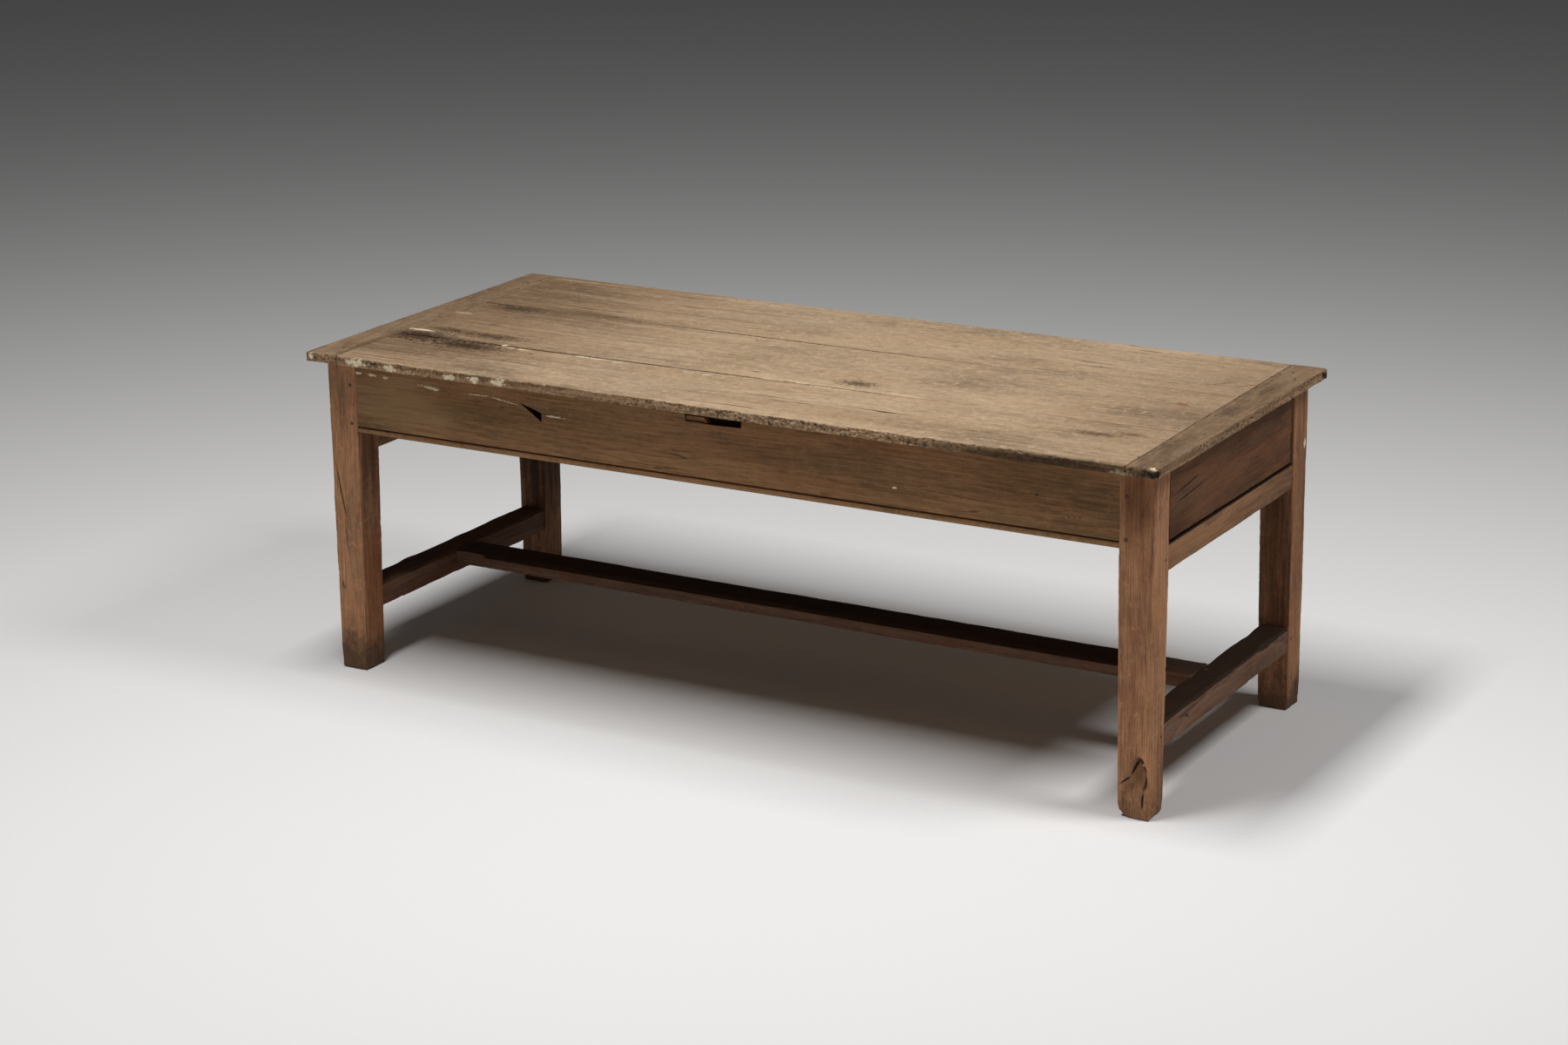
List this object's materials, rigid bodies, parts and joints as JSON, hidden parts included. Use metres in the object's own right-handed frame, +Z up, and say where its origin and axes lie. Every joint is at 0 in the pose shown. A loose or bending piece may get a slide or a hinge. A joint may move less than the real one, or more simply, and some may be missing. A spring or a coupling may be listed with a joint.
{
  "type": "kitchen table",
  "caption": "Farmhouse kitchen table: plank top with breadboard ends on square legs, beaded aprons, an H stretcher and a drawer sliding out over the rail at each end.",
  "frame": {"origin": "on the floor under the middle of the tabletop", "axes": "+X along the table to its right end, +Y to the rear, +Z up"},
  "size_m": [2.05, 0.89, 0.746],
  "materials": {
    "top_wood": "bare, worn pale and dry",
    "breadboard_wood": "bare, worn",
    "apron_wood": "dark, matte, scratched",
    "patch_wood": "raw",
    "leg_wood": "dark, worn edges",
    "rail_wood": "dark, worn",
    "stretcher_wood": "dark, rubbed by feet",
    "drawer_front_wood": "dark, worn",
    "inner_wood": "raw, aged",
    "peg_wood": "aged oak",
    "nail_iron": "dark, rusted"
  },
  "bodies": {
    "frame": {"apron_front": "apron_wood", "apron_patch": "patch_wood", "apron_pegs": "peg_wood", "apron_rear": "apron_wood", "breadboard_end_left": "breadboard_wood", "breadboard_end_right": "breadboard_wood", "breadboard_pegs": "peg_wood", "drawer_guide_front": "inner_wood", "drawer_guide_rear": "inner_wood", "drawer_rail_left": "rail_wood", "drawer_rail_right": "rail_wood", "drawer_runner_front": "inner_wood", "drawer_runner_rear": "inner_wood", "drawer_stops": "inner_wood", "end_stretcher_left": "stretcher_wood", "end_stretcher_right": "stretcher_wood", "guide_nails": "nail_iron", "leg_front_left": "leg_wood", "leg_front_right": "leg_wood", "leg_rear_left": "leg_wood", "leg_rear_right": "leg_wood", "long_stretcher": "stretcher_wood", "long_stretcher_pegs": "peg_wood", "rail_pegs": "peg_wood", "runner_nails": "nail_iron", "stop_nails": "nail_iron", "stretcher_pegs": "peg_wood", "top_board_front": "top_wood", "top_board_middle": "top_wood", "top_board_rear": "top_wood", "top_nails": "nail_iron"},
    "right_drawer": {"right_drawer_back": "inner_wood", "right_drawer_bottom_1": "inner_wood", "right_drawer_bottom_2": "inner_wood", "right_drawer_bottom_3": "inner_wood", "right_drawer_front": "drawer_front_wood", "right_drawer_nails": "nail_iron", "right_drawer_side_front": "inner_wood", "right_drawer_side_rear": "inner_wood"},
    "left_drawer": {"left_drawer_back": "inner_wood", "left_drawer_bottom_1": "inner_wood", "left_drawer_bottom_2": "inner_wood", "left_drawer_bottom_3": "inner_wood", "left_drawer_front": "drawer_front_wood", "left_drawer_nails": "nail_iron", "left_drawer_side_front": "inner_wood", "left_drawer_side_rear": "inner_wood"}
  },
  "joints": [
    {"name": "right_drawer_slide", "type": "slide", "parent": "frame", "child": "right_drawer", "axis": [1, 0, 0], "range_m": [0, 0.5]},
    {"name": "left_drawer_slide", "type": "slide", "parent": "frame", "child": "left_drawer", "axis": [-1, 0, 0], "range_m": [0, 0.5]}
  ]
}
